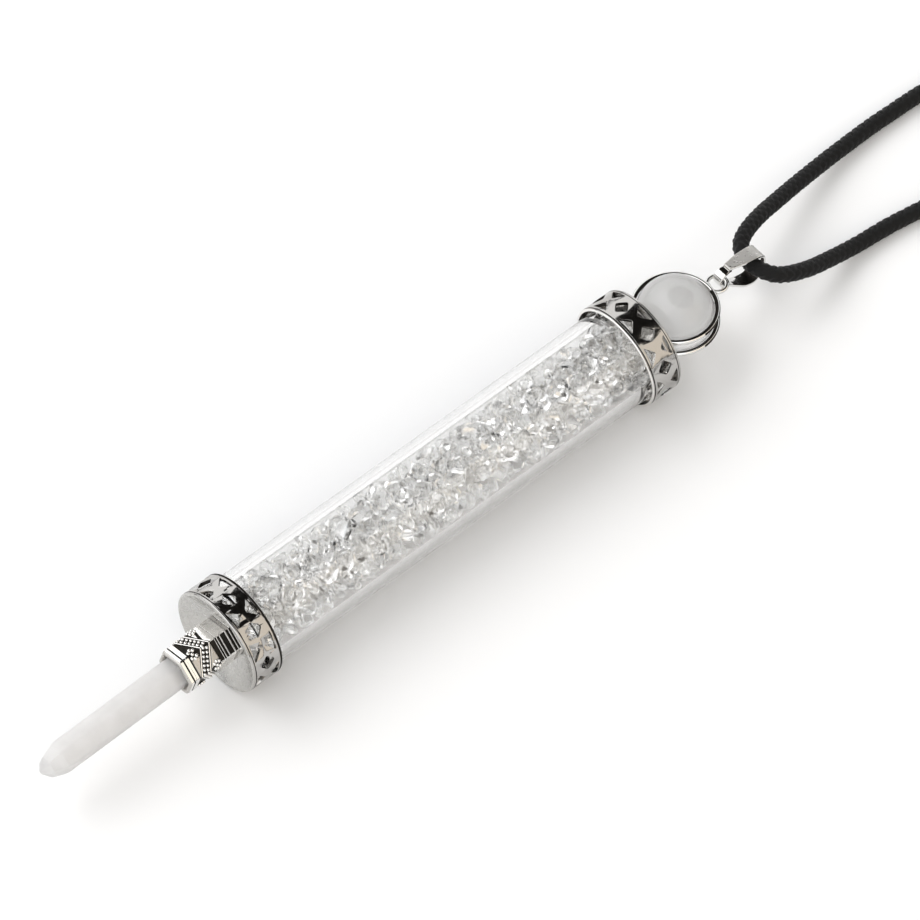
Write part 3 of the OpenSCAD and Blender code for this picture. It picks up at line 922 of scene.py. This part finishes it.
RING_R, HALF_GAP, EYE_X = 6.3, 1.4, 97.2
RING_HEIGHTS = (LIFT + HALF_GAP, LIFT - HALF_GAP)
cage = [wire_ring(BALL_X, z, RING_R, 0.76) for z in RING_HEIGHTS]
cage.append(wire_ring(EYE_X, LIFT, 1.5, 0.7, 48))
post = turned("post", [(-1.5, 0.3), (-1.4, 0.46), (1.4, 0.46), (1.5, 0.3)], sides=20)
upright = Matrix.Rotation(math.pi / 2, 4, "Y")
for x, k in ((BALL_X - RING_R - 0.28, 1.0), (BALL_X + RING_R + 0.2, 0.8)):
    at = Matrix.Translation((x, 0, LIFT)) @ upright @ Matrix.Diagonal((1, k, k, 1))
    cage.append(copy_of(post, at))
bpy.data.objects.remove(post)
stem = turned("stem", [(80.05, 0.8), (80.15, 0.9), (81.6, 0.9), (82.1, 0.75), (82.4, 0.5)], sides=32)
stem.data.transform(Matrix.Translation((0, 0, LIFT)))
cage.append(stem)
for z in RING_HEIGHTS:
    cage.append(solder(BALL_X - RING_R - 0.15, z, (0.42, 0.62, 0.36)))
    cage.append(solder(BALL_X + RING_R + 0.15, z, (0.36, 0.6, 0.34)))
cage.append(solder(EYE_X - 1.75, LIFT, (0.45, 0.6, 0.42)))
cage = apply_place(joined("wire_cage", cage), Matrix.Identity(4))
cage.data.materials.append(wire_silver)
cage.data.materials.append(oxide_and_shade)


def ring_shade_and_dark_reflection(spot, normal):
    """True on the ring faces painted dark: painted shade on their inner sides next to the ball, and a
    painted dark reflection at the far side of the rings.
    """
    off = Vector((spot.x - BALL_X, spot.y))
    if not RING_R - 0.5 < off.length < RING_R + 0.5 or abs(abs(spot.z - LIFT) - HALF_GAP) > 0.5:
        return False
    outwards = (normal.x * off.x + normal.y * off.y) / off.length
    bearing = (math.degrees(math.atan2(off.y, off.x) + heading) + 180) % 360 - 180   # on the table
    if outwards > 0.7 and -50 < bearing < 10:
        return True
    inwards = outwards < (-0.2 if bearing > 105 else 0.2) and normal.z > -0.5
    return inwards and not 30 < bearing < 105


# Painted shade between the rings and the ball, and a painted dark reflection on the rings' far outer
# side.
paint(cage, 1, ring_shade_and_dark_reflection)
apply_place(cage, on_table)
bpy.ops.object.shade_smooth_by_angle(angle=math.radians(50))
print("cage faces", len(cage.data.polygons))

# %% [markdown]
# The bail is one strip of sheet, bent so that its narrow neck passes through the eye and
# its wide back holds the cord. An edge is extruded along the bend and widened on the way,
# then Solidify gives the strip its thickness and Bevel softens it.

# %% Bail
bail_bend = [(2.35, 1.82), (1.4, 1.95), (0.6, 1.72), (0.15, 1.2), (0.2, 0.3), (0.6, -0.6), (1.6, -1.15),
             (2.9, -2.25), (5.0, -3.7), (6.7, -3.9), (7.9, -2.6), (8.3, -0.8), (7.85, 1.1), (4.8, 1.85),
             (2.0, 2.35)]
bail_widths = [(-0.6, 0.82), (1.2, 0.82), (2.1, 0.68), (4.5, 1.15), (7.5, 1.3), (8.7, 1.35)]


def half_width(x):
    """Half the strip's width at a place along the vial's direction."""
    for (x0, w0), (x1, w1) in zip(bail_widths, bail_widths[1:]):
        if x <= x1:
            return w0 + (w1 - w0) * max(0.0, x - x0) / (x1 - x0)
    return bail_widths[-1][1]


bend = smooth([(x, 0, z) for x, z in bail_bend], 5)
ACROSS = 11
deselect()
bpy.ops.mesh.primitive_grid_add(x_subdivisions=1, y_subdivisions=ACROSS - 1, size=2)
bail = new_piece("bent_bail")
bpy.ops.object.mode_set(mode="EDIT")
bpy.ops.mesh.select_mode(type="VERT")
bpy.ops.mesh.select_all(action="DESELECT")
bpy.ops.object.mode_set(mode="OBJECT")
for v in bail.data.vertices:
    v.select = v.co.x > 0
    spot = bend[1] if v.select else bend[0]
    v.co = (spot.x, v.co.y * half_width(spot.x), spot.z)
bpy.ops.object.mode_set(mode="EDIT")
for a, b in zip(bend[1:], bend[2:]):
    bpy.ops.mesh.extrude_edges_move(TRANSFORM_OT_translate={"value": b - a})
    bpy.ops.transform.resize(value=(1, half_width(b.x) / half_width(a.x), 1), center_override=b)
bpy.ops.object.mode_set(mode="OBJECT")
print("bail strip has", len(bail.data.polygons), "faces")
add_modifier(bail, "SOLIDIFY", thickness=0.44, offset=0.0)
add_modifier(bail, "BEVEL", width=0.1, segments=3, limit_method="ANGLE", angle_limit=math.radians(50))
outward(bail)
for finish in (wire_silver, satin_silver, oxide_and_shade):
    bail.data.materials.append(finish)
paint(bail, 1, lambda spot, normal: spot.x > 1.9 and spot.z > 1.4 and normal.z > 0.7)
# Painted shade and painted dark reflection: the dark finish goes on the fold under the top plate and on
# the inner face of the lower leg under the cord.
paint(bail, 2, lambda spot, normal: 1.1 < spot.x < 2.4 and 1.5 < spot.z < 2.12
      or 2.6 < spot.x < 7.8 and spot.z < -1.6 and normal.z > 0.3 and spot.y < 0.33 * (spot.x - 3))
apply_place(bail, on_table @ Matrix.Translation((EYE_X, 0, LIFT)))
bpy.ops.object.shade_smooth_by_angle(angle=math.radians(40))
print("bail", [round(x, 4) for x in bail.dimensions])

# %% [markdown]
# Every finished piece now takes the place of its solid and rides on the one body that the
# pendant has. The list also gives the record's material that each is made of.

# %% Put the pieces in place of the solids
finished = [(cord, "neck_cord", "black_braid"), (clasp, "cord_clasp", "silver"),
            (lower_cap, "lower_cap", "silver"), (upper_cap, "upper_cap", "silver"),
            (tube, "glass_tube", "tube_glass"), (chips, "quartz_chips", "white_quartz"),
            (point, "crystal_point", "clear_quartz"), (ball, "crystal_ball", "clear_quartz"),
            (collar, "point_collar", "silver"), (cage, "ball_cage", "silver"), (bail, "bail", "silver")]
for piece, node, slot in finished:
    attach(piece, "root")
    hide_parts(node)
    piece.data.calc_loop_triangles()
    print(piece.name, len(piece.data.loop_triangles), "triangles")

# %% [markdown]
# The photograph has a white table and soft light. The silver is only as good as what it
# mirrors, so the surroundings are bright overhead and behind, with a sharp dark patch high
# up and a little warmth from the right. One large lamp gives the soft shadow. The tube
# itself throws none, because clear glass would be given a solid one; the chips throw it.

# %% Table
deselect()
bpy.ops.mesh.primitive_plane_add(size=4)
table = new_piece("white_table")
paper, nodes, links, shader = finish_of("white_table", (0.86, 0.86, 0.86), 0.8)
shader.inputs["Specular IOR Level"].default_value = 0.1
mottle = object_noise(nodes, links, 0.002)
links.new(mixed(nodes, links, mottle.outputs["Fac"], (0.85, 0.85, 0.85), (0.87, 0.87, 0.87)),
          shader.inputs["Base Color"])
table.data.materials.append(paper)

# %% Surroundings
world = bpy.data.worlds.new("studio")
bpy.context.scene.world = world
world.use_nodes = True
nodes, links = world.node_tree.nodes, world.node_tree.links
sky = nodes["Background"]
sky.inputs["Strength"].default_value = 1.0
look = nodes.new("ShaderNodeTexCoord")


def patch(base, direction, inner_deg, outer_deg, color):
    """Blends a round patch of colour into the surroundings."""
    dot = nodes.new("ShaderNodeVectorMath")
    dot.operation = "DOT_PRODUCT"
    dot.inputs[1].default_value = Vector(direction).normalized()
    links.new(look.outputs["Generated"], dot.inputs[0])
    node = nodes.new("ShaderNodeMapRange")
    node.interpolation_type = "SMOOTHSTEP"
    node.inputs["From Min"].default_value = math.cos(math.radians(outer_deg))
    node.inputs["From Max"].default_value = math.cos(math.radians(inner_deg))
    links.new(dot.outputs["Value"], node.inputs["Value"])
    mix = nodes.new("ShaderNodeMix")
    mix.data_type = "RGBA"
    if isinstance(base, tuple):
        mix.inputs["A"].default_value = (*base, 1)
    else:
        links.new(base, mix.inputs["A"])
    mix.inputs["B"].default_value = (*color, 1)
    links.new(node.outputs["Result"], mix.inputs["Factor"])
    return mix.outputs["Result"]


PATCHES = (((-0.1, 0.1, 1.0), 20, 75, (2.0, 2.0, 2.01)),                  # soft light overhead
           ((0.85, -0.4, 0.37), 20, 50, (1.25, 1.14, 0.99)),              # warmth from the right
           ((-0.2, 0.85, 0.5), 12, 34, (1.4, 1.4, 1.4)),                  # panel behind
           ((0.264, 0.289, 0.919), 33.5, 36, (0.012, 0.011, 0.01)))       # dark patch
tone = (1.2, 1.22, 1.24)
for direction, inner_deg, outer_deg, color in PATCHES:
    tone = patch(tone, direction, inner_deg, outer_deg, color)
height = nodes.new("ShaderNodeSeparateXYZ")
links.new(look.outputs["Generated"], height.inputs["Vector"])
edge = ranged(nodes, links, height.outputs["Z"], 0, 1, 0.05, 0.13)
horizon = nodes.new("ShaderNodeMix")
horizon.data_type = "RGBA"
horizon.inputs["A"].default_value = (0.03, 0.03, 0.03, 1)
links.new(tone, horizon.inputs["B"])
links.new(edge, horizon.inputs["Factor"])
links.new(horizon.outputs["Result"], sky.inputs["Color"])

# %% Lamp
key_data = bpy.data.lights.new("key", "AREA")
key_data.shape = "DISK"
key_data.size = 0.9
key_data.energy = 3.0
key = bpy.data.objects.new("key", key_data)
bpy.context.scene.collection.objects.link(key)
key.visible_glossy = False
tube.visible_shadow = False
key.location = Vector((-0.55, 0.3, 0.78))
key.rotation_euler = (-Vector(key.location)).to_track_quat("-Z", "Y").to_euler()

# %% Picture settings
picture = bpy.context.scene
picture.view_settings.view_transform = "Standard"
picture.cycles.max_bounces = 32
picture.cycles.transmission_bounces = 32
picture.cycles.glossy_bounces = 8
picture.cycles.transparent_max_bounces = 16
